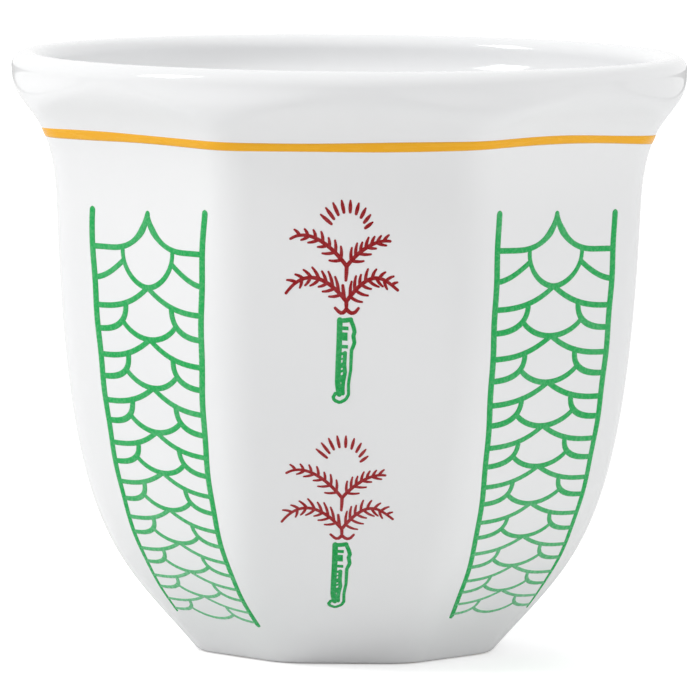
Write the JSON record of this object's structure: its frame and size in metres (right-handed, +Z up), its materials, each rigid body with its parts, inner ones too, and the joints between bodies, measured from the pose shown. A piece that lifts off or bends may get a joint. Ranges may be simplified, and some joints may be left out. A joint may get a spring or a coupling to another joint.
{
  "type": "arabic coffee cup",
  "caption": "Small handleless porcelain coffee cup, octagonal below with a round flared lip, fired with palms, columns of fish scales and an amber line.",
  "frame": {"origin": "middle of the foot's underside, on the table", "axes": "+Z up along the cup's axis, -Y out of a facet with palms"},
  "size_m": [0.065, 0.065, 0.0574],
  "materials": {
    "porcelain": "gloss glaze",
    "amber_lustre": "gloss lustre",
    "green_enamel": "gloss enamel",
    "dark_red_enamel": "gloss enamel"
  },
  "bodies": {
    "root": {"cup_body": "porcelain", "amber_line": "amber_lustre", "scale_column_front_right": "green_enamel", "scale_column_back_right": "green_enamel", "scale_column_back_left": "green_enamel", "scale_column_front_left": "green_enamel", "palm_crown_front_upper": "dark_red_enamel", "palm_crown_right_upper": "dark_red_enamel", "palm_crown_back_upper": "dark_red_enamel", "palm_crown_left_upper": "dark_red_enamel", "palm_crown_front_lower": "dark_red_enamel", "palm_crown_right_lower": "dark_red_enamel", "palm_crown_back_lower": "dark_red_enamel", "palm_crown_left_lower": "dark_red_enamel", "palm_trunk_front_upper": "green_enamel", "palm_trunk_right_upper": "green_enamel", "palm_trunk_back_upper": "green_enamel", "palm_trunk_left_upper": "green_enamel", "palm_trunk_front_lower": "green_enamel", "palm_trunk_right_lower": "green_enamel", "palm_trunk_back_lower": "green_enamel", "palm_trunk_left_lower": "green_enamel"}
  },
  "joints": []
}
